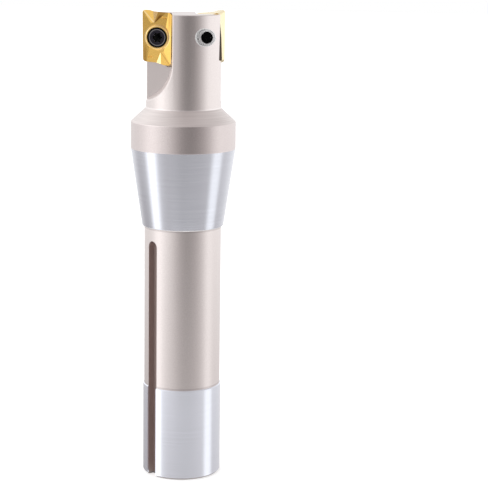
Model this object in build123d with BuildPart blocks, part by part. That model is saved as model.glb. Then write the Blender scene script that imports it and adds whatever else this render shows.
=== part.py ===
from build123d import *
from math import cos, radians, sin, sqrt, tan
import os

# Two-flute indexable end mill, 25 mm across the cutting edges, on an R8 shank.
# It stands on its drawbar end with the cutting end up. The origin is on the axis at
# the drawbar end face. The first insert lies on the -X side and faces -Y.
# Lengths are in millimetres and angles in degrees.

# R8 shank, from the drawbar end upwards
pilot_diameter = 24.12
pilot_length = 28.575
pilot_bottom_chamfer = 0.6
pilot_top_chamfer = 0.3
relief_diameter = 23.5
relief_length = 49.625
gauge_diameter = 31.75
gauge_to_taper_end = 0.5
taper_included_angle = 16.85
taper_start_chamfer = 0.25
taper_length = 23.9

# Collar, shoulder and neck
collar_length = 8.1
collar_edge_round = 0.3
shoulder_length = 4.2
neck_diameter = 22.9
neck_foot_round = 1.2
neck_length = 28.2
neck_rim_chamfer = 0.2

# Keyway for the locating pin of the spindle
key_width = 3.97
key_depth = 2.38
key_end_below_taper = 3.9
key_direction = 228.3

# Drawbar hole, drilled for a 7/16-20 thread
drawbar_hole_diameter = 9.92
drawbar_hole_depth = 38.0
drawbar_mouth_diameter = 12.6
drawbar_mouth_angle = 90.0
drill_point_angle = 118.0

# Where the inserts sit
flute_count = 2
cutting_diameter = 25.0
tip_above_rim = 1.1
rake_offset = 3.0
axial_rake = 3.5
edge_lean = 1.5

# Insert outline, a parallelogram that narrows towards its seat
insert_width = 8.9
insert_length = 16.5
insert_thickness = 5.26
flank_clearance = 11.0
nose_radius = 0.8
heel_radius = 1.1
wiper_length = 2.2
wiper_step_run = 1.0
wiper_step = 0.3
end_edge_angle = 2.5

# Second clearance facet low on each long flank, growing away from the active corner
lower_flank_start = 1.8
lower_flank_run = 13.5
lower_flank_height = 3.0
lower_flank_inset = 0.7

# Chip former on the rake face, depths measured down from the active corners.
# Each half of the floor falls away from its own active edge.
edge_drop = 1.0
floor_depth = 1.2
floor_tilt = 3.5
land_width = 3.5
crest_run = 3.1
crest_depth = 0.35
fan_foot_run = 4.75
fan_apex_run = 3.4
fan_apex_drop = 4.1
boss_depth = 0.55
boss_diameter = 7.8
boss_slope_width = 0.4
boss_edge_chamfer = 0.12
bump_foot_radius = 0.4
bump_top_radius = 0.2
bump_height = 0.18
bump_pitch = 0.76
bump_side_offset = 2.0
bump_end_offset = 5.97

# Clamping screw with a conical head and a six-lobe socket
screw_head_diameter = 5.8
screw_head_angle = 60.0
screw_head_rim = 0.22
screw_bevel_width = 0.4
screw_bevel_height = 0.17
screw_shank_diameter = 4.0
screw_thread_diameter = 3.54
screw_length = 7.0
screw_tip_chamfer = 0.3
insert_hole_diameter = 4.4
socket_core_radius = 1.25
socket_lobe_radius = 0.39
socket_lobe_centre = 1.24
socket_lobes = 6
socket_depth = 1.2
socket_point_angle = 120.0

# Gullet, pocket and tapped hole
gullet_wall_gap = 0.08
gullet_end_radius = 12.5
gullet_end_above_shoulder = 13.7
gullet_edge_chamfer = 0.25
corner_relief_diameter = 3.4
corner_relief_inset = 0.9
tapped_hole_gap = 0.03
thread_engagement = 2.6
exit_bore_diameter = 5.0
exit_bore_chamfer = 0.15

# Sizes worked out from the ones above
taper_start_height = pilot_length + relief_length
taper_end_height = taper_start_height + taper_length
gauge_height = taper_end_height - gauge_to_taper_end
collar_top_height = taper_end_height + collar_length
shoulder_top_height = collar_top_height + shoulder_length
neck_rim_height = shoulder_top_height + neck_length
tip_height = neck_rim_height + tip_above_rim
key_end_height = taper_start_height - key_end_below_taper
gullet_end_height = shoulder_top_height + gullet_end_above_shoulder
pilot_radius = pilot_diameter / 2
relief_radius = relief_diameter / 2
neck_radius = neck_diameter / 2
bore_radius = drawbar_hole_diameter / 2
mouth_radius = drawbar_mouth_diameter / 2
mouth_depth = (mouth_radius - bore_radius) / tan(radians(drawbar_mouth_angle / 2))
drill_point_height = bore_radius / tan(radians(drill_point_angle / 2))
taper_slope = tan(radians(taper_included_angle / 2))
collar_radius = gauge_diameter / 2 + (taper_end_height - gauge_height) * taper_slope
taper_start_radius = gauge_diameter / 2 - (gauge_height - taper_start_height) * taper_slope
half_width = insert_width / 2
half_length = insert_length / 2
flank_slope = tan(radians(flank_clearance))
floor_level = insert_thickness - floor_depth
boss_level = insert_thickness - boss_depth
boss_radius = boss_diameter / 2
head_slope = tan(radians(screw_head_angle / 2))
insert_hole_radius = insert_hole_diameter / 2
shank_radius = screw_shank_diameter / 2
thread_radius = screw_thread_diameter / 2
head_radius = screw_head_diameter / 2
tapped_radius = thread_radius + tapped_hole_gap
socket_point_height = socket_core_radius / tan(radians(socket_point_angle / 2))
clear_of_body = 2 * neck_diameter


def height_on_head(radius):
    return head_seat_level + (radius - insert_hole_radius) / head_slope


# The head cone meets the insert's countersink, whose mouth is inside the boss
mouth_radius_in_insert = boss_radius - 2 * boss_slope_width
head_seat_level = boss_level - (mouth_radius_in_insert - insert_hole_radius) / head_slope
head_top = height_on_head(head_radius) + screw_head_rim
screw_tip = head_top - screw_length


# Seat frame of the first insert: x towards the axis, y up, z out of the seat.
# The active corner is at the tip height, on the circle of the cutting diameter.
tilt = radians(axial_rake)
lean = radians(edge_lean)
seat_normal = Vector(0, -cos(tilt), -sin(tilt))
seat_up = Vector(0, -sin(tilt), cos(tilt))
seat_x = Vector(1, 0, 0) * cos(lean) - seat_up * sin(lean)
corner_rise = half_width * sin(lean) + half_length * cos(lean)
corner_reach = half_width * cos(lean) - half_length * sin(lean)
corner_ahead = rake_offset + corner_rise * sin(tilt)
rake_x = corner_reach - sqrt((cutting_diameter / 2) ** 2 - corner_ahead**2)
rake_z = tip_height - corner_rise * cos(tilt)
seat_origin = Vector(rake_x, -rake_offset, rake_z) - seat_normal * insert_thickness
first_seat = Plane(origin=seat_origin, x_dir=seat_x, z_dir=seat_normal)
half_turns = [Location((0, 0, 0), (0, 0, turn * 360 / flute_count)) for turn in range(flute_count)]
seats = [turn * first_seat.location for turn in half_turns]


# Lines of one short edge, from its active corner: wiper flat, small step, falling edge
def short_edge_drop(run):
    after_step = run - wiper_length - wiper_step_run
    if after_step > 0:
        return wiper_step + after_step * tan(radians(end_edge_angle))
    return max(0, run - wiper_length) * wiper_step / wiper_step_run


def short_edge(runs, side):
    return [
        (side * (run - half_width), side * (half_length - short_edge_drop(run))) for run in runs
    ]


edge_runs = [0, wiper_length, wiper_length + wiper_step_run, insert_width]


def chip_point(run, drop, depth, side=1):
    return Vector(side * (run - half_width), side * (half_length - drop), insert_thickness - depth)


def flank_point(drop, height, inset, side=1):
    flank_run = (insert_thickness - height) * flank_slope + inset
    return Vector(side * (flank_run - half_width), side * (half_length - drop), height)


def face_plane(first, second, third):
    normal = (second - first).cross(third - first)
    if normal.Z < 0:
        normal = normal * -1
    return Plane(origin=first, x_dir=second - first, z_dir=normal)


# Rib under the two fan facets beside each active corner
ribs = []
for side in (1, -1):
    corner = chip_point(0, 0, 0, side)
    crest = chip_point(crest_run, 0, crest_depth, side)
    apex = chip_point(fan_apex_run, fan_apex_drop, floor_depth, side)
    foot = chip_point(fan_foot_run, 0, floor_depth, side)
    with BuildPart() as rib:
        Box(4 * insert_width, 2 * insert_length, 4 * insert_thickness)
        split(bisect_by=face_plane(corner, crest, apex), keep=Keep.BOTTOM)
        split(bisect_by=face_plane(crest, apex, foot), keep=Keep.BOTTOM)
    ribs.append(rib.part)

# Space above one half of the chip former: over its tilted floor and both lands
middle = Vector(0, 0, floor_level)
across_floor = middle + Vector(1, 0, -tan(radians(floor_tilt)))
along_floor = middle + Vector(0, 1, 0)
with BuildPart() as half_space:
    Box(
        2 * insert_width,
        insert_length,
        4 * insert_thickness,
        align=(Align.CENTER, Align.MIN, Align.CENTER),
    )
    split(bisect_by=face_plane(middle, across_floor, along_floor), keep=Keep.TOP)
    for side in (1, -1):
        active_end = chip_point(0, 0, 0, side)
        faded_end = chip_point(0, insert_length, edge_drop, side)
        land_foot = chip_point(land_width, 0, floor_depth, side)
        split(bisect_by=face_plane(active_end, faded_end, land_foot), keep=Keep.TOP)

# Both halves together, less ribs, boss and bumps
with BuildPart() as chip_space:
    with PolarLocations(0, 2):
        add(half_space.part)
    add(ribs, mode=Mode.SUBTRACT)
    with BuildSketch(Plane.XZ) as boss_section:
        with BuildLine():
            Polyline(
                (0, 0),
                (boss_radius, 0),
                (boss_radius, floor_level),
                (boss_radius - boss_slope_width, boss_level),
                (0, boss_level),
                close=True,
            )
        make_face()
        crest_corner = (boss_radius - boss_slope_width, boss_level)
        chamfer(boss_section.vertices().sort_by_distance(crest_corner)[0], boss_edge_chamfer)
    revolve(axis=Axis.Z, mode=Mode.SUBTRACT)
    bump_places = [
        (side * (bump_side_offset + step * bump_pitch / 2), side * bump_end_offset)
        for side in (1, -1)
        for step in (1, -1)
    ]
    bump_feet = [(x, y, floor_level - abs(x) * tan(radians(floor_tilt))) for x, y in bump_places]
    with Locations(*bump_feet):
        Cone(
            bump_foot_radius,
            bump_top_radius,
            bump_height,
            align=(Align.CENTER, Align.CENTER, Align.MIN),
            mode=Mode.SUBTRACT,
        )

# Insert in its seat frame: tapered blank, rounded corners, chip former and screw hole
with BuildPart() as insert_shape:
    with BuildSketch(Plane.XY.offset(insert_thickness)):
        with BuildLine():
            Polyline(*short_edge(edge_runs, 1), *short_edge(edge_runs, -1), close=True)
        make_face()
    extrude(amount=-insert_thickness, taper=flank_clearance)
    upright = insert_shape.edges().filter_by(lambda e: abs(e.tangent_at(0.5).Z) > 0.5)
    active_ends = [chip_point(0, 0, 0, side) for side in (1, -1)]
    faded_ends = [chip_point(insert_width, 0, 0, side) for side in (1, -1)]
    fillet([upright.sort_by_distance(end)[0] for end in active_ends], nose_radius)
    upright = insert_shape.edges().filter_by(lambda e: abs(e.tangent_at(0.5).Z) > 0.5)
    fillet([upright.sort_by_distance(end)[0] for end in faded_ends], heel_radius)
    for side in (1, -1):
        facet_start = flank_point(lower_flank_start, 0, 0, side)
        facet_top = flank_point(lower_flank_run, lower_flank_height, 0, side)
        facet_foot = flank_point(lower_flank_run, 0, lower_flank_inset, side)
        split(bisect_by=face_plane(facet_start, facet_top, facet_foot), keep=Keep.TOP)
    add(chip_space.part, mode=Mode.SUBTRACT)
    with BuildSketch(Plane.XZ):
        with BuildLine():
            Polyline(
                (0, 0),
                (insert_hole_radius, 0),
                (insert_hole_radius, head_seat_level),
                (mouth_radius_in_insert, boss_level),
                (mouth_radius_in_insert, insert_thickness),
                (0, insert_thickness),
                close=True,
            )
        make_face()
    revolve(axis=Axis.Z, mode=Mode.SUBTRACT)

with BuildPart() as cutting_insert_1:
    add(insert_shape.part.located(seats[0]))
with BuildPart() as cutting_insert_2:
    add(insert_shape.part.located(seats[1]))

# Screw in the same frame, its thread drawn at the pitch diameter
with BuildPart() as screw_shape:
    with BuildSketch(Plane.XZ):
        with BuildLine():
            Polyline(
                (0, screw_tip),
                (thread_radius - screw_tip_chamfer, screw_tip),
                (thread_radius, screw_tip + screw_tip_chamfer),
                (thread_radius, 0),
                (shank_radius, shank_radius - thread_radius),
                (shank_radius, height_on_head(shank_radius)),
                (head_radius, height_on_head(head_radius)),
                (head_radius, head_top - screw_bevel_height),
                (head_radius - screw_bevel_width, head_top),
                (0, head_top),
                close=True,
            )
        make_face()
    revolve(axis=Axis.Z)
    with BuildSketch(Plane.XY.offset(head_top)):
        Circle(socket_core_radius)
        with PolarLocations(socket_lobe_centre, socket_lobes):
            Circle(socket_lobe_radius)
    extrude(amount=-socket_depth, mode=Mode.SUBTRACT)
    with Locations((0, 0, head_top - socket_depth)):
        Cone(
            0,
            socket_core_radius,
            socket_point_height,
            align=(Align.CENTER, Align.CENTER, Align.MAX),
            mode=Mode.SUBTRACT,
        )

with BuildPart() as insert_screws:
    for seat in seats:
        add(screw_shape.part.located(seat))

# Space for one insert: pocket with corner relief, tapped hole and exit bore
pocket_runs = edge_runs[:-1] + [3 * insert_width]
pocket_reach = half_width - pocket_runs[-1]
with BuildPart() as pocket_space:
    with BuildSketch(Plane.XY.offset(insert_thickness)):
        with BuildLine():
            Polyline(
                *short_edge(pocket_runs, -1),
                (pocket_reach, 2 * insert_length),
                (half_width, 2 * insert_length),
                close=True,
            )
        make_face()
    extrude(amount=-insert_thickness, taper=flank_clearance)
    relief_x = half_width - corner_relief_inset
    relief_y = corner_relief_inset - half_length
    with Locations((relief_x, relief_y, 0)):
        Cylinder(
            corner_relief_diameter / 2,
            insert_thickness,
            align=(Align.CENTER, Align.CENTER, Align.MIN),
        )
    Cylinder(tapped_radius, 2 * thread_engagement)
    with Locations((0, 0, -thread_engagement)):
        Cylinder(
            exit_bore_diameter / 2,
            clear_of_body,
            align=(Align.CENTER, Align.CENTER, Align.MAX),
        )

# Space of one gullet: a plane wall that follows the insert's flank, with a round run-out
lean_out = radians(flank_clearance)
flank_top = first_seat.from_local_coords(Vector(half_width, half_length, insert_thickness))
wall_foot_x = flank_top.X + flank_top.Y * flank_slope + gullet_wall_gap
wall_across = wall_foot_x * cos(lean_out)
gullet_plane = Plane(
    origin=(0, 0, gullet_end_height),
    x_dir=(cos(lean_out), sin(lean_out), 0),
    z_dir=(sin(lean_out), -cos(lean_out), 0),
)
with BuildPart() as gullet_space:
    with BuildSketch(gullet_plane):
        with Locations((wall_across - gullet_end_radius, 0)):
            Circle(gullet_end_radius)
            Rectangle(2 * gullet_end_radius, neck_diameter, align=(Align.CENTER, Align.MIN))
    extrude(amount=clear_of_body, both=True)
    split(bisect_by=Plane.XZ, keep=Keep.TOP)



# Edges that the gullets leave in the neck's cylinder, not its turned rings
def lies_on_neck(edge):
    points = [edge.position_at(share) for share in (0.2, 0.5, 0.8)]
    off_cylinder = max(abs(sqrt(p.X**2 + p.Y**2) - neck_radius) for p in points)
    height = points[2].Z - points[0].Z
    return off_cylinder < gullet_edge_chamfer / 10 and abs(height) > gullet_edge_chamfer


# Curved outer rim of a screw's exit bore
def rims_exit_bore(edge):
    points = [edge.position_at(share) for share in (0.1, 0.4, 0.7)]
    off_cylinder = max(abs(sqrt(p.X**2 + p.Y**2) - neck_radius) for p in points)
    rise = max(abs(p.Z - rake_z) for p in points)
    return edge.is_closed and off_cylinder < exit_bore_chamfer and rise < exit_bore_diameter


# Body turned about the Z axis, with the drawbar hole in the same section
with BuildPart() as cutter_body:
    with BuildSketch(Plane.YZ) as turned_section:
        with BuildLine():
            Polyline(
                (0, drawbar_hole_depth + drill_point_height),
                (bore_radius, drawbar_hole_depth),
                (bore_radius, mouth_depth),
                (mouth_radius, 0),
                (pilot_radius - pilot_bottom_chamfer, 0),
                (pilot_radius, pilot_bottom_chamfer),
                (pilot_radius, pilot_length - pilot_top_chamfer),
                (relief_radius, pilot_length),
                (relief_radius, taper_start_height),
                (taper_start_radius, taper_start_height),
                (collar_radius, taper_end_height),
                (collar_radius, collar_top_height),
                (neck_radius, shoulder_top_height),
                (neck_radius, neck_rim_height - neck_rim_chamfer),
                (neck_radius - neck_rim_chamfer, neck_rim_height),
                (0, neck_rim_height),
                close=True,
            )
        make_face()
        corners = turned_section.vertices()
        chamfer(
            corners.sort_by_distance((taper_start_radius, taper_start_height))[0],
            taper_start_chamfer,
        )
        fillet(corners.sort_by_distance((collar_radius, collar_top_height))[0], collar_edge_round)
        fillet(corners.sort_by_distance((neck_radius, shoulder_top_height))[0], neck_foot_round)
    revolve(axis=Axis.Z)

    key_axis = Vector(cos(radians(key_direction)), sin(radians(key_direction)), 0)
    key_floor = Plane(
        origin=key_axis * (pilot_radius - key_depth),
        x_dir=Vector(0, 0, 1),
        z_dir=key_axis,
    )
    with BuildSketch(key_floor):
        with Locations((key_end_height - key_width / 2, 0)):
            Circle(key_width / 2)
            Rectangle(key_end_height, key_width, align=(Align.MAX, Align.CENTER))
    extrude(amount=2 * key_depth, mode=Mode.SUBTRACT)
    for turn in half_turns:
        add(gullet_space.part.located(turn), mode=Mode.SUBTRACT)
    chamfer(cutter_body.edges().filter_by(lies_on_neck), gullet_edge_chamfer)
    for seat in seats:
        add(pocket_space.part.located(seat), mode=Mode.SUBTRACT)
    chamfer(cutter_body.edges().filter_by(rims_exit_bore), exit_bore_chamfer)

os.makedirs("parts", exist_ok=True)
cutter_body.part.label = "cutter_body"
cutting_insert_1.part.label = "cutting_insert_1"
cutting_insert_2.part.label = "cutting_insert_2"
insert_screws.part.label = "insert_screws"
export_step(cutter_body.part, "parts/cutter_body.step")
export_step(cutting_insert_1.part, "parts/cutting_insert_1.step")
export_step(cutting_insert_2.part, "parts/cutting_insert_2.step")
export_step(insert_screws.part, "parts/insert_screws.step")
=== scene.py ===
import math

import bpy
from mathutils import Matrix, Vector


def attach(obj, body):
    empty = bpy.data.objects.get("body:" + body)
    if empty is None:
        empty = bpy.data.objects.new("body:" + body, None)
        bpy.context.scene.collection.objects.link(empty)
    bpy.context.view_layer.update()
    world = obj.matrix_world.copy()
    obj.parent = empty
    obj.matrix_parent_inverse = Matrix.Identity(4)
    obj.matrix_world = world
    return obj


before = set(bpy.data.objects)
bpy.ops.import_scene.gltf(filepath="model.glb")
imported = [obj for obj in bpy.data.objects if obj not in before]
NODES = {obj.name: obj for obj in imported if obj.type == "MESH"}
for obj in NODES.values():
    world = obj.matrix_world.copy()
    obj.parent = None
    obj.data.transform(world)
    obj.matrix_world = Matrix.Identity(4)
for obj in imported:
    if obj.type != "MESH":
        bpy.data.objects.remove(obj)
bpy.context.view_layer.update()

# Lengths are in metres. An EDGE holds two values of a measure: where a mask starts to
# show, and where it shows in full. A BAND holds a middle and a reach to either side, and
# shows in full over the core's share of that reach.
BAND_CORE = 0.7

# Zones up the body
BOTTOM_CHAMFER = (0.00001, 0.0006)
BOTTOM_FADE = 0.00002
PILOT_TOP = 0.028575
TAPER_START = 0.0782
TAPER_END = 0.1021
COLLAR_TOP = 0.1102
SHOULDER_TOP = 0.1144
ZONE_FADE = 0.0001
PILOT_CREASE_BAND = (PILOT_TOP + 0.00025, 0.00035)
TAPER_CREASE_BAND = (TAPER_START - 0.00025, 0.00035)
TAPER_FOOT_BAND = (TAPER_START + 0.00012, 0.00016)
NECK_FOOT_BAND = (SHOULDER_TOP + 0.00012, 0.00022)

# Keyway: direction, and distances from its middle plane, from the axis and from below
KEY_ANGLE = math.radians(228.3)
KEY_SIDE_EDGE = (0.00206, 0.00199)
KEY_FLOOR_EDGE = (0.00963, 0.00966)
KEY_MOUTH_EDGE = (0.0117, 0.0115)
KEY_END_EDGE = (0.0750, 0.0745)

# Exit bores, measured from the axes of the screws
BORE_RIM_EDGE = (0.00272, 0.00267)
BORE_WALL_EDGE = (0.00258, 0.00253)
DRILL_MARK_PITCH = 0.0007
DRILL_MARK_DEPTH = 0.00005

# Thread in the drawbar hole: a ridge whose foot is sunk into the wall of the hole
THREAD_PITCH = 0.00127
THREAD_FOOT_RADIUS = 0.00502
THREAD_CREST_RADIUS = 0.00468
THREAD_START = 0.0021
THREAD_END = 0.0365
THREAD_STEPS = 40
THREAD_RISES = (-0.00053, -0.00013, 0.00013, 0.00053)
THREAD_LEAST_SHARE = 0.05
THREAD_SHARP_ANGLE = math.radians(35)

# Seat frame of the first insert, with its origin in the middle of the rake face. The
# second insert's seat is the same frame after half a turn about the tool's axis.
AXIAL_RAKE = math.radians(3.5)
EDGE_LEAN = math.radians(1.5)
SEAT_CENTRE = Vector((-0.00776, -0.0030, 0.13535))
SEAT_Z = Vector((0, -math.cos(AXIAL_RAKE), -math.sin(AXIAL_RAKE)))
LEVEL_UP = Vector((0, -math.sin(AXIAL_RAKE), math.cos(AXIAL_RAKE)))
SEAT_X = Vector((1, 0, 0)) * math.cos(EDGE_LEAN) - LEVEL_UP * math.sin(EDGE_LEAN)
SEAT_Y = SEAT_Z.cross(SEAT_X)
TURNS = (Matrix.Identity(3), Matrix.Rotation(math.pi, 3, "Z"))
RAKE_DIRECTIONS = [turn @ SEAT_Z for turn in TURNS]

# Inserts: directions of two facets in the seat frame, and edges of masks as cosines of
# the angle between a face and such a direction
STEEP_FAN_FACET = (0.453, -0.149, 0.879)
LOWER_FLANK = (-0.900, -0.053, -0.433)
RAKE_EDGE = (0.55, 0.65)
STEEP_EDGE = (0.990, 0.994)
FLANK_EDGE = (0.975, 0.985)
HALF_WIDTH = 0.00445
HALF_LENGTH = 0.00825
BOSS_SLOPE_BAND = (0.0036, 0.0004)
SHADE_EDGE = (0.00378, 0.00370)
HIGHLIGHT_SHARE = 0.6

# Fan of the chip former at each corner. Run is measured from the long edge and drop from
# the short edge. The fan's narrowing is 1 at the corner and 0 at the drop of its apex.
FAN_FOOT_RUN = 0.00475
FAN_APEX_RUN = 0.0034
FAN_APEX_DROP = 0.0041
RIDGE_LENGTH = math.hypot(FAN_APEX_RUN, FAN_APEX_DROP)
RIDGE_BAND = (0.00011, 0.00022)
RIDGE_FADE_EDGE = (0.0, 0.15)
RIDGE_HIGHLIGHT_SHARE = 0.7
SHADOW_SHARE = 0.3

# Groove beside the fan at the corner that cuts, with edges as shares of its reach from
# the fan's foot, or as narrowings of the fan
GROOVE_REACH = 0.0029
LEAST_REACH = 0.00001
GROOVE_NEAR_EDGE = (-0.03, 0.03)
GROOVE_FAR_EDGE = (1.2, 0.9)
GROOVE_APEX_EDGE = (0.0, 0.1)
GROOVE_CORNER_EDGE = (1.0, 0.85)
VALLEY_BAND = (0.8, 0.55)
VALLEY_END_EDGE = (0.8, 0.5)
GROOVE_SHADE_SHARE = 0.45

# Floor that climbs to the passive end of a long edge
PASSIVE_ACROSS = (0.0030, 0.0043)
PASSIVE_FADE = 0.0005
PASSIVE_ALONG_EDGE = (0.0010, 0.0045)
PASSIVE_SHADE_SHARE = 0.4

# Screws, measured from their axes and from the middle of the rake face
HEAD_EDGE = (0.0036, 0.0035)
HEAD_UNDERSIDE_EDGE = (-0.0030, -0.0028)
HEAD_TOP_EDGE = (-0.00078, -0.00073)
HEAD_RING_RADIUS = 0.00238
HEAD_RING_REACH = 0.00014
HEAD_RING_FADE = 0.00005
SOCKET_EDGE = (0.0018, 0.0017)
FACES_OUT_EDGE = (0.3, 0.4)

# Textures: noise scales per metre, stretches, and depths of bumps
SATIN_GRAIN = 4200.0
GROUND_RINGS = 2600.0
TURNED_RINGS = 9000.0
RING_STRETCH = (0.02, 0.02, 1.0)
TURNED_STRETCH = (0.01, 0.01, 1.0)
TURNED_EDGE = (0.3, 0.7)
COAT_SPECKLE = 3200.0
COAT_GRAIN = 2500.0
GRAIN_DEPTH = 0.00002
RINGS_TO_GRAIN = 2.0
STEEL_BUMP = 0.12
COAT_BUMP = 0.10

# Roughness
SATIN_ROUGH = 0.34
GROUND_ROUGH = 0.2
DULL_ROUGH = 0.6
COAT_ROUGH = 0.27
OXIDE_ROUGH = 0.75
HEAD_ROUGH = 0.24

# Colours as reflectances
SATIN_DARK, SATIN_LIGHT = (0.70, 0.635, 0.62), (0.90, 0.835, 0.82)
PILOT_DARK, PILOT_LIGHT = (0.80, 0.82, 0.89), (0.86, 0.88, 0.96)
TAPER_DARK, TAPER_LIGHT = (0.72, 0.735, 0.80), (0.80, 0.82, 0.89)
COLLAR_DARK, COLLAR_LIGHT = (0.60, 0.53, 0.52), (0.82, 0.75, 0.74)
SHOULDER_DARK, SHOULDER_LIGHT = (0.72, 0.66, 0.645), (0.80, 0.735, 0.72)
NECK_FOOT_HIGHLIGHT = (0.91, 0.85, 0.84)
KEY_COLOUR = (0.53, 0.44, 0.415)
CREASE_SHADE = (0.66, 0.60, 0.59)
CHAMFER_SHADE = (0.40, 0.37, 0.36)
HIGHLIGHT_WHITE = (0.99, 0.99, 0.99)
GOLD_DARK, GOLD_LIGHT = (0.86, 0.52, 0.125), (1.0, 0.655, 0.185)
PALE_GOLD_SHEEN = (0.94, 0.81, 0.53)
HIGHLIGHT_GOLD = (1.0, 0.78, 0.44)
SHADE_BROWN = (0.36, 0.16, 0.03)
FLANK_SHADE = (0.045, 0.028, 0.016)
OXIDE_BLACK = (0.005, 0.005, 0.005)
HEAD_GREY = (0.026, 0.023, 0.032)
RING_HIGHLIGHT_GREY = (0.22, 0.21, 0.215)
SOCKET_GLINT_GREY = (0.42, 0.41, 0.46)
FLOOR_GREY = (0.9, 0.9, 0.9)
WHITE = (1.0, 1.0, 1.0)


# Helpers for a node tree. Each one below feed returns a socket to be linked onwards.
class Nodes:
    def __init__(self, tree):
        self.tree = tree
        self.tree.nodes.clear()

    def add(self, kind):
        return self.tree.nodes.new(kind)

    def feed(self, socket, value):
        if isinstance(value, bpy.types.NodeSocket):
            self.tree.links.new(value, socket)
        elif isinstance(value, tuple) and socket.type == "RGBA":
            socket.default_value = (*value, 1.0)
        else:
            socket.default_value = value

    def math(self, operation, first, second=0.0, clamp=False):
        node = self.add("ShaderNodeMath")
        node.operation = operation
        node.use_clamp = clamp
        self.feed(node.inputs[0], first)
        self.feed(node.inputs[1], second)
        return node.outputs[0]

    def plus(self, first, second):
        return self.math("ADD", first, second)

    def minus(self, first, second, clamp=False):
        return self.math("SUBTRACT", first, second, clamp)

    def over(self, first, second):
        return self.math("DIVIDE", first, second)

    def size(self, value):
        return self.math("ABSOLUTE", value)

    def both(self, first, *others):
        for other in others:
            first = self.math("MULTIPLY", first, other)
        return first

    def either(self, first, *others):
        for other in others:
            first = self.math("MAXIMUM", first, other)
        return first

    def mix(self, share, first, second):
        node = self.add("ShaderNodeMix")
        node.data_type = "RGBA"
        self.feed(node.inputs[0], share)
        self.feed(node.inputs[6], first)
        self.feed(node.inputs[7], second)
        return node.outputs[2]

    def blend(self, share, first, second):
        node = self.add("ShaderNodeMix")
        node.data_type = "FLOAT"
        self.feed(node.inputs[0], share)
        self.feed(node.inputs[2], first)
        self.feed(node.inputs[3], second)
        return node.outputs[0]

    def step(self, value, low, high, shape="SMOOTHSTEP"):
        node = self.add("ShaderNodeMapRange")
        node.interpolation_type = shape
        self.feed(node.inputs["Value"], value)
        self.feed(node.inputs["From Min"], low)
        self.feed(node.inputs["From Max"], high)
        return node.outputs[0]

    def near(self, value, centre, reach):
        return self.step(self.size(self.minus(value, centre)), reach, BAND_CORE * reach)

    def between(self, value, low, high, fade):
        return self.both(self.step(value, low, low + fade), self.step(value, high, high - fade))

    def split(self, vector):
        node = self.add("ShaderNodeSeparateXYZ")
        self.feed(node.inputs[0], vector)
        return node.outputs

    def vector(self, operation, first, second):
        node = self.add("ShaderNodeVectorMath")
        node.operation = operation
        self.feed(node.inputs[0], first)
        self.feed(node.inputs[1], second)
        return node.outputs

    def dot(self, vector, direction):
        return self.vector("DOT_PRODUCT", vector, tuple(direction))["Value"]


# A material, with masks and textures in the object's own coordinates
class Paint(Nodes):
    def __init__(self, name):
        self.material = bpy.data.materials.new(name)
        self.material.use_nodes = True
        super().__init__(self.material.node_tree)
        self.shader = self.add("ShaderNodeBsdfPrincipled")
        self.feed(self.add("ShaderNodeOutputMaterial").inputs[0], self.shader.outputs[0])
        texture = self.add("ShaderNodeTexCoord")
        self.coords = texture.outputs["Object"]
        self.normal = texture.outputs["Normal"]
        self.bumped = None

    def set(self, **values):
        for key, value in values.items():
            label = key.replace("_", " ").title().replace("Ior", "IOR")
            self.feed(self.shader.inputs[label], value)

    def from_axis(self, point, direction):
        offset = self.vector("SUBTRACT", self.coords, tuple(point))["Vector"]
        across = self.vector("CROSS_PRODUCT", offset, tuple(direction))["Vector"]
        return self.vector("LENGTH", across, (0.0, 0.0, 0.0))["Value"]

    def from_screw_axes(self):
        return [self.from_axis(turn @ SEAT_CENTRE, turn @ SEAT_Z) for turn in TURNS]

    def facing(self, directions, low, high):
        masks = [self.step(self.dot(self.normal, way), low, high) for way in directions]
        return self.either(*masks)

    def noise(self, scale, detail=2.0, stretch=(1.0, 1.0, 1.0)):
        mapping = self.add("ShaderNodeMapping")
        self.feed(mapping.inputs["Vector"], self.coords)
        self.feed(mapping.inputs["Scale"], stretch)
        node = self.add("ShaderNodeTexNoise")
        self.feed(node.inputs["Vector"], mapping.outputs[0])
        self.feed(node.inputs["Scale"], scale)
        self.feed(node.inputs["Detail"], detail)
        return node.outputs["Fac"]

    def bump(self, height, strength, distance):
        node = self.add("ShaderNodeBump")
        self.feed(node.inputs["Strength"], strength)
        self.feed(node.inputs["Distance"], distance)
        self.feed(node.inputs["Height"], height)
        if self.bumped is not None:
            self.feed(node.inputs["Normal"], self.bumped)
        self.bumped = node.outputs[0]
        self.set(normal=self.bumped)

    def cover(self, obj, slot_name):
        obj.data.materials.clear()
        obj.data.materials.append(self.material)


# A direction of the seat frame at both corners of both inserts
def seat_directions(local):
    x, y, z = local
    for side in (1, -1):
        direction = side * x * SEAT_X + side * y * SEAT_Y + z * SEAT_Z
        for turn in TURNS:
            yield turn @ direction


def add_object(name, points, faces):
    mesh = bpy.data.meshes.new(name)
    mesh.from_pydata(points, [], faces)
    obj = bpy.data.objects.new(name, mesh)
    bpy.context.scene.collection.objects.link(obj)
    return obj


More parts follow.
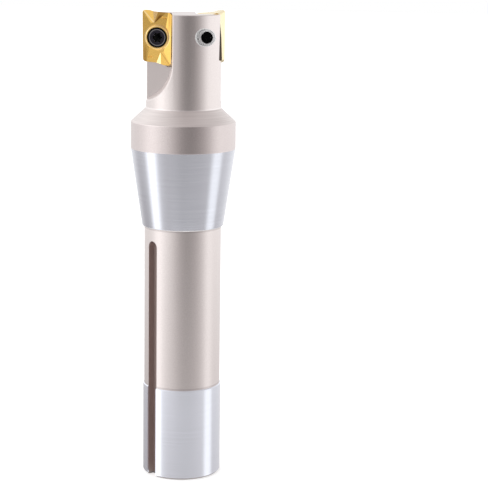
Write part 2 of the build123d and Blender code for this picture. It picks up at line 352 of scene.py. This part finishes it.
# Ridge of the thread: one closed sweep up a helix that fades out over half a turn at each end
def add_drawbar_thread():
    sections = int((THREAD_END - THREAD_START) / THREAD_PITCH * THREAD_STEPS)
    corners = len(THREAD_RISES)
    points = []
    faces = []
    for index in range(sections + 1):
        angle = 2 * math.pi * index / THREAD_STEPS
        height = THREAD_START + THREAD_PITCH * index / THREAD_STEPS
        fade = min(1.0, 2 * index / THREAD_STEPS, 2 * (sections - index) / THREAD_STEPS)
        depth = (THREAD_FOOT_RADIUS - THREAD_CREST_RADIUS) * max(fade, THREAD_LEAST_SHARE)
        crest = THREAD_FOOT_RADIUS - depth
        radii = (THREAD_FOOT_RADIUS, crest, crest, THREAD_FOOT_RADIUS)
        for radius, rise in zip(radii, THREAD_RISES):
            points.append((radius * math.cos(angle), radius * math.sin(angle), height + rise))
        if index < sections:
            first = corners * index
            for side in range(corners):
                after = (side + 1) % corners
                low, high = first + side, first + after
                faces.append((low, high, high + corners, low + corners))
    faces.append(tuple(reversed(range(corners))))
    faces.append(tuple(corners * sections + corner for corner in range(corners)))
    thread = add_object("drawbar_thread", points, faces)
    thread.data.polygons.foreach_set("use_smooth", [True] * len(faces))
    thread.data.set_sharp_from_angle(angle=THREAD_SHARP_ANGLE)
    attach(thread, "root")
    return thread


# Steel body: satin neck, collar and relief, bright ground taper and pilot, brown keyway.
# The shoulder is turned. The neck's foot at the top of the shoulder, the foot of the taper
# and the rims of the exit bores get painted highlights; the creases at the top of the pilot
# and the start of the taper, and the bottom chamfer, get painted shade.
def paint_body():
    steel = Paint("cutter_steel")
    x, y, height = steel.split(steel.coords)
    radius = steel.math("SQRT", steel.plus(steel.both(x, x), steel.both(y, y)))
    # Painted shade: a dark line along the bottom chamfer
    shaded_chamfer = steel.between(height, *BOTTOM_CHAMFER, BOTTOM_FADE)
    on_pilot = steel.step(height, PILOT_TOP + ZONE_FADE / 2, PILOT_TOP - ZONE_FADE / 2)
    on_taper = steel.between(height, TAPER_START, TAPER_END, ZONE_FADE)
    on_collar = steel.between(height, TAPER_END, COLLAR_TOP, ZONE_FADE)
    on_shoulder = steel.between(height, COLLAR_TOP, SHOULDER_TOP, ZONE_FADE)
    # Painted highlight: a thin bright line at the foot of the taper
    taper_foot_highlight = steel.near(height, *TAPER_FOOT_BAND)
    # Painted highlight: a thin bright line at the foot of the neck
    neck_foot_highlight = steel.near(height, *NECK_FOOT_BAND)

    key_out = (math.cos(KEY_ANGLE), math.sin(KEY_ANGLE), 0.0)
    key_side = (-math.sin(KEY_ANGLE), math.cos(KEY_ANGLE), 0.0)
    in_key = steel.both(
        steel.step(steel.size(steel.dot(steel.coords, key_side)), *KEY_SIDE_EDGE),
        steel.step(steel.dot(steel.coords, key_out), *KEY_FLOOR_EDGE),
        steel.step(height, *KEY_END_EDGE),
        steel.step(radius, *KEY_MOUTH_EDGE),
    )
    # Painted shade in the creases at the top of the pilot and at the start of the taper
    crease_shade = steel.both(
        steel.either(
            steel.near(height, *PILOT_CREASE_BAND), steel.near(height, *TAPER_CREASE_BAND)
        ),
        steel.minus(1.0, in_key),
    )
    from_screw = steel.math("MINIMUM", *steel.from_screw_axes())
    # Painted highlight on the rims of the exit bores
    bore_rim_highlight = steel.step(from_screw, *BORE_RIM_EDGE)
    bore_wall = steel.step(from_screw, *BORE_WALL_EDGE)

    grain = steel.noise(SATIN_GRAIN)
    rings = steel.noise(GROUND_RINGS, 1.0, RING_STRETCH)
    turned = steel.step(steel.noise(TURNED_RINGS, 0.0, TURNED_STRETCH), *TURNED_EDGE)
    colour = steel.mix(grain, SATIN_DARK, SATIN_LIGHT)
    for zone, texture, dark, light in (
        (on_collar, grain, COLLAR_DARK, COLLAR_LIGHT),
        (on_shoulder, turned, SHOULDER_DARK, SHOULDER_LIGHT),
        (on_taper, rings, TAPER_DARK, TAPER_LIGHT),
        (on_pilot, rings, PILOT_DARK, PILOT_LIGHT),
    ):
        colour = steel.mix(zone, colour, steel.mix(texture, dark, light))
    # The keyway's brown is the steel's own colour; the other masks paint shade and highlights
    for mask, tone in (
        (in_key, KEY_COLOUR),
        (crease_shade, CREASE_SHADE),
        (shaded_chamfer, CHAMFER_SHADE),
        (neck_foot_highlight, NECK_FOOT_HIGHLIGHT),
        (steel.either(taper_foot_highlight, bore_rim_highlight), HIGHLIGHT_WHITE),
    ):
        colour = steel.mix(mask, colour, tone)
    rough = steel.blend(steel.either(on_taper, on_pilot), SATIN_ROUGH, GROUND_ROUGH)
    rough = steel.blend(steel.either(in_key, taper_foot_highlight, bore_rim_highlight), rough, DULL_ROUGH)
    steel.set(base_color=colour, roughness=rough, metallic=1.0)
    steel.bump(steel.plus(grain, steel.both(rings, RINGS_TO_GRAIN)), STEEL_BUMP, GRAIN_DEPTH)

    # Drill marks in the exit bores
    down_bore = steel.size(steel.dot(steel.coords, RAKE_DIRECTIONS[1]))
    marks = steel.math("SINE", steel.both(down_bore, 2 * math.pi / DRILL_MARK_PITCH))
    steel.bump(steel.both(marks, bore_wall), 1.0, DRILL_MARK_DEPTH)
    steel.cover(NODES["cutter_body"], "satin_steel")
    steel.cover(add_drawbar_thread(), "satin_steel")


# Tones of the rake face round one corner, where across is minus the half width and along
# is the half length
def tone_corner(gold, coat, rake, across, along, cuts):
    run = gold.plus(across, HALF_WIDTH)
    drop = gold.minus(HALF_LENGTH, along)
    narrowing = gold.minus(1.0, gold.over(drop, FAN_APEX_DROP), clamp=True)

    # Painted shade, dark brown, in the groove beside the fan, at the corner that cuts
    if cuts:
        foot_run = gold.both(narrowing, FAN_FOOT_RUN - FAN_APEX_RUN)
        past_foot = gold.minus(gold.minus(run, FAN_APEX_RUN), foot_run)
        share = gold.over(past_foot, gold.plus(gold.both(narrowing, GROOVE_REACH), LEAST_REACH))
        groove = gold.both(
            gold.step(share, *GROOVE_NEAR_EDGE),
            gold.step(share, *GROOVE_FAR_EDGE),
            gold.step(narrowing, *GROOVE_APEX_EDGE),
            gold.step(narrowing, *GROOVE_CORNER_EDGE),
            rake,
        )
        valley = gold.both(
            gold.near(share, *VALLEY_BAND), gold.step(narrowing, *VALLEY_END_EDGE)
        )
        groove_shade = gold.both(groove, gold.either(valley, GROOVE_SHADE_SHARE))
        coat = gold.mix(groove_shade, coat, SHADE_BROWN)

    # Painted shade, a darker brownish gold, where the floor climbs to the passive end of a long
    # edge
    passive_shade = gold.both(
        gold.between(across, *PASSIVE_ACROSS, PASSIVE_FADE),
        gold.step(along, *PASSIVE_ALONG_EDGE),
        rake,
    )
    coat = gold.mix(gold.both(passive_shade, PASSIVE_SHADE_SHARE), coat, SHADE_BROWN)

    # Ridge from the corner to the apex of the fan: a painted highlight at the corner that cuts,
    # painted shade at the other
    skew = gold.minus(gold.both(run, FAN_APEX_DROP), gold.both(drop, FAN_APEX_RUN))
    ridge = gold.both(
        gold.near(gold.over(skew, RIDGE_LENGTH), *RIDGE_BAND),
        gold.step(narrowing, *RIDGE_FADE_EDGE),
        rake,
    )
    tone, amount = (HIGHLIGHT_GOLD, RIDGE_HIGHLIGHT_SHARE) if cuts else (SHADE_BROWN, SHADOW_SHARE)
    return gold.mix(gold.both(ridge, amount), coat, tone)


# Nitride coating: deeper gold on the rake face, flanks painted paler as painted sheen,
# lower flank facets painted dark as painted shade
def paint_inserts():
    gold = Paint("nitride_gold")
    rake = gold.facing(RAKE_DIRECTIONS, *RAKE_EDGE)
    steep_facet = gold.facing(seat_directions(STEEP_FAN_FACET), *STEEP_EDGE)
    lower_flank = gold.facing(seat_directions(LOWER_FLANK), *FLANK_EDGE)
    from_screw = gold.math("MINIMUM", *gold.from_screw_axes())
    boss_slope = gold.both(gold.near(from_screw, *BOSS_SLOPE_BAND), rake)
    coat = gold.mix(gold.noise(COAT_SPECKLE, 3.0), GOLD_DARK, GOLD_LIGHT)
    # Painted sheen: the flanks painted pale gold
    coat = gold.mix(rake, PALE_GOLD_SHEEN, coat)
    # Painted highlights on the steep facets of the fans and on the slopes of the screw bosses
    coat = gold.mix(gold.both(gold.either(steep_facet, boss_slope), HIGHLIGHT_SHARE), coat, HIGHLIGHT_GOLD)

    shaded = 0.0
    for turn in TURNS:
        across = gold.minus(gold.dot(gold.coords, turn @ SEAT_X), SEAT_CENTRE.dot(SEAT_X))
        along = gold.minus(gold.dot(gold.coords, turn @ SEAT_Y), SEAT_CENTRE.dot(SEAT_Y))
        shaded = gold.either(shaded, gold.step(gold.size(across), *SHADE_EDGE))
        for side in (1.0, -1.0):
            coat = tone_corner(
                gold, coat, rake, gold.both(across, side), gold.both(along, side), side > 0
            )

    # Painted shade on the lower flank facets, in the gap beside the body
    coat = gold.mix(gold.both(lower_flank, shaded), coat, FLANK_SHADE)
    gold.set(base_color=coat, metallic=1.0, roughness=COAT_ROUGH)
    gold.bump(gold.noise(COAT_GRAIN, 3.0), COAT_BUMP, GRAIN_DEPTH)
    gold.cover(NODES["cutting_insert_1"], "gold_coating")
    gold.cover(NODES["cutting_insert_2"], "gold_coating")


# Black oxide screws: a lighter ring on the head as a painted highlight, a shinier head whose
# socket walls are painted lighter as painted glints, a dull tip
def paint_screws():
    black = Paint("screw_black")
    axis_distances = black.from_screw_axes()
    from_screw = black.math("MINIMUM", *axis_distances)
    on_head = 0.0
    on_top = 0.0
    for turn, distance in zip(TURNS, axis_distances):
        own = black.step(distance, *HEAD_EDGE)
        level = black.minus(black.dot(black.coords, turn @ SEAT_Z), SEAT_CENTRE.dot(SEAT_Z))
        on_head = black.either(on_head, black.both(own, black.step(level, *HEAD_UNDERSIDE_EDGE)))
        on_top = black.either(on_top, black.both(own, black.step(level, *HEAD_TOP_EDGE)))
    in_socket = black.both(
        black.step(from_screw, *SOCKET_EDGE),
        black.minus(1.0, black.facing(RAKE_DIRECTIONS, *FACES_OUT_EDGE)),
        on_head,
    )
    within_ring = black.step(from_screw, HEAD_RING_RADIUS, HEAD_RING_RADIUS - HEAD_RING_FADE)
    # Painted highlight: a lighter ring on the top of the head
    ring_highlight = black.near(from_screw, HEAD_RING_RADIUS, HEAD_RING_REACH)
    colour = black.mix(black.both(within_ring, on_top), OXIDE_BLACK, HEAD_GREY)
    colour = black.mix(black.both(ring_highlight, on_top), colour, RING_HIGHLIGHT_GREY)
    # Painted glints: the socket walls painted lighter than the black oxide
    colour = black.mix(in_socket, colour, SOCKET_GLINT_GREY)
    rough = black.blend(on_head, OXIDE_ROUGH, HEAD_ROUGH)
    black.set(base_color=colour, roughness=rough, metallic=0.8, specular_ior_level=0.2)
    black.cover(NODES["insert_screws"], "black_steel")


# Pale glowing table that mirrors don't show, just under the tool
FLOOR_HALF = 3.0
FLOOR_GAP = 0.00002


def lay_floor():
    signs = ((-1, -1), (1, -1), (1, 1), (-1, 1))
    corners = [(x * FLOOR_HALF, y * FLOOR_HALF, 0) for x, y in signs]
    floor = add_object("floor", corners, [(0, 1, 2, 3)])
    floor.location = (0, 0, -FLOOR_GAP)
    paint = Paint("floor_white")
    paint.set(base_color=FLOOR_GREY, roughness=0.7, specular_ior_level=0.0)
    paint.set(emission_color=WHITE, emission_strength=0.5)
    floor.data.materials.append(paint.material)
    floor.visible_glossy = False


# Light tent: brightness round the horizon at each height in degrees, as pairs of
# degrees to the right of the camera and brightness. Two strip lights stand beside the
# tool, the camera's side is dark, and the table below is bright. Dim light is tinted.
CAMERA_TURN = math.radians(9.5)
TENT_TOP = 2.6
SHADE_TINT = 0.90
TENT = {
    -45: [(-180, 0.8), (-60, 0.9), (-30, 1.6), (60, 1.6), (90, 0.9), (180, 0.8)],
    -34: [(-180, 0.5), (-60, 0.7), (-30, 1.25), (50, 1.25), (80, 0.8), (180, 0.5)],
    -26: [(-180, 0.3), (-115, 0.2), (-100, 0.5), (-88, 1.5), (-72, 1.5), (-60, 0.7),
          (-40, 0.45), (0, 0.22), (40, 0.34), (66, 0.5), (78, 1.2), (96, 1.1),
          (106, 0.5), (180, 0.5)],
    -16: [(-180, 0.65), (-125, 0.55), (-98, 0.8), (-86, 1.6), (-70, 1.6), (-60, 0.85),
          (-40, 0.75), (0, 0.9), (40, 0.85), (68, 0.8), (76, 1.2), (94, 1.2),
          (104, 0.75), (180, 0.85)],
    -10: [(-180, 1.0), (-110, 1.05), (-75, 1.2), (-50, 1.2), (-36, 1.05), (-24, 0.8),
          (-10, 0.45), (4, 0.28), (20, 0.26), (40, 0.42), (60, 0.75), (80, 1.1),
          (130, 1.1), (180, 1.0)],
    -5: [(-180, 1.0), (-110, 1.05), (-80, 1.0), (-55, 1.1), (-38, 1.1), (-28, 0.8),
         (-16, 0.42), (0, 0.12), (12, 0.05), (28, 0.14), (45, 0.42), (62, 0.85),
         (80, 1.3), (130, 1.3), (180, 1.0)],
    8: [(-180, 1.0), (-110, 1.2), (-75, 2.5), (-60, 2.5), (-48, 1.2), (-36, 0.95),
        (-24, 0.7), (0, 0.1), (20, 0.08), (45, 0.4), (80, 1.2), (130, 1.2), (180, 1.0)],
    20: [(-180, 1.0), (-110, 1.2), (-60, 1.5), (-30, 1.2), (0, 0.35), (30, 0.3),
         (80, 0.9), (180, 1.0)],
    40: [(-180, 0.9), (-150, 1.15), (-90, 1.3), (-40, 1.0), (0, 0.5), (40, 0.55),
         (90, 0.75), (180, 0.9)],
    85: [(-180, 0.6), (0, 0.6), (180, 0.6)],
}


# A new ramp has two stops already
def tent_ramp(sky, around, row):
    ramp = sky.add("ShaderNodeValToRGB")
    sky.feed(ramp.inputs[0], around)
    stops = ramp.color_ramp.elements
    for index, (degrees, brightness) in enumerate(row):
        place = degrees / 360 + 0.5
        stop = stops[index] if index < 2 else stops.new(place)
        stop.position = place
        tint = SHADE_TINT + (1 - SHADE_TINT) * min(1.0, brightness)
        grey = brightness / TENT_TOP
        stop.color = (grey, grey * tint, grey * tint, 1.0)
    return ramp.outputs[0]


def light_tent():
    world = bpy.data.worlds.new("studio")
    bpy.context.scene.world = world
    world.use_nodes = True
    sky = Nodes(world.node_tree)
    x, y, z = sky.split(sky.add("ShaderNodeTexCoord").outputs["Generated"])
    cos_turn, sin_turn = math.cos(CAMERA_TURN), math.sin(CAMERA_TURN)
    to_camera = sky.minus(sky.both(x, sin_turn), sky.both(y, cos_turn))
    to_right = sky.plus(sky.both(x, cos_turn), sky.both(y, sin_turn))
    around = sky.plus(sky.over(sky.math("ARCTAN2", to_right, to_camera), 2 * math.pi), 0.5)
    height = sky.both(sky.math("ARCSINE", z), 180 / math.pi)

    levels = sorted(TENT)
    value = tent_ramp(sky, around, TENT[levels[0]])
    for lower, upper in zip(levels, levels[1:]):
        share = sky.step(height, lower, upper, "LINEAR")
        value = sky.mix(share, value, tent_ramp(sky, around, TENT[upper]))

    # The camera sees a plain white backdrop in the tent's place
    tent = sky.add("ShaderNodeBackground")
    sky.feed(tent.inputs["Color"], value)
    sky.feed(tent.inputs["Strength"], TENT_TOP)
    backdrop = sky.add("ShaderNodeBackground")
    sky.feed(backdrop.inputs["Color"], WHITE)
    choose = sky.add("ShaderNodeMixShader")
    sky.feed(choose.inputs[0], sky.add("ShaderNodeLightPath").outputs["Is Camera Ray"])
    sky.feed(choose.inputs[1], tent.outputs[0])
    sky.feed(choose.inputs[2], backdrop.outputs[0])
    sky.feed(sky.add("ShaderNodeOutputWorld").inputs[0], choose.outputs[0])


# Camera fitted to the photo: place in metres, angles in radians, focal length in pixels
FIT_DISTANCE = 0.49594
FIT_HEIGHT = 0.16724
FIT_PITCH = math.radians(10.835)
FIT_YAW = math.radians(2.185)
FIT_ROLL = math.radians(0.754)
FIT_FOCAL = 1637.2
PHOTO_WIDTH = 488.0
SENSOR = 36.0
CLIP_START = 0.01
CLIP_END = 50.0


def place_camera():
    forward = Vector((
        math.sin(FIT_YAW) * math.cos(FIT_PITCH),
        math.cos(FIT_YAW) * math.cos(FIT_PITCH),
        -math.sin(FIT_PITCH),
    ))
    level_right = Vector((math.cos(FIT_YAW), -math.sin(FIT_YAW), 0.0))
    level_up = level_right.cross(forward)
    right = math.cos(FIT_ROLL) * level_right + math.sin(FIT_ROLL) * level_up
    up = -math.sin(FIT_ROLL) * level_right + math.cos(FIT_ROLL) * level_up
    turn = Matrix.Rotation(CAMERA_TURN, 3, "Z")
    axes = Matrix((turn @ right, turn @ up, turn @ -forward)).transposed()
    data = bpy.data.cameras.new("camera")
    data.sensor_width = SENSOR
    data.lens = FIT_FOCAL / PHOTO_WIDTH * SENSOR
    data.clip_start = CLIP_START
    data.clip_end = CLIP_END
    camera = bpy.data.objects.new("camera", data)
    bpy.context.scene.collection.objects.link(camera)
    place = turn @ Vector((0.0, -FIT_DISTANCE, FIT_HEIGHT))
    camera.matrix_world = Matrix.Translation(place) @ axes.to_4x4()
    bpy.context.scene.camera = camera


paint_body()
paint_inserts()
paint_screws()
lay_floor()
light_tent()
place_camera()
bpy.context.scene.view_settings.view_transform = "Standard"
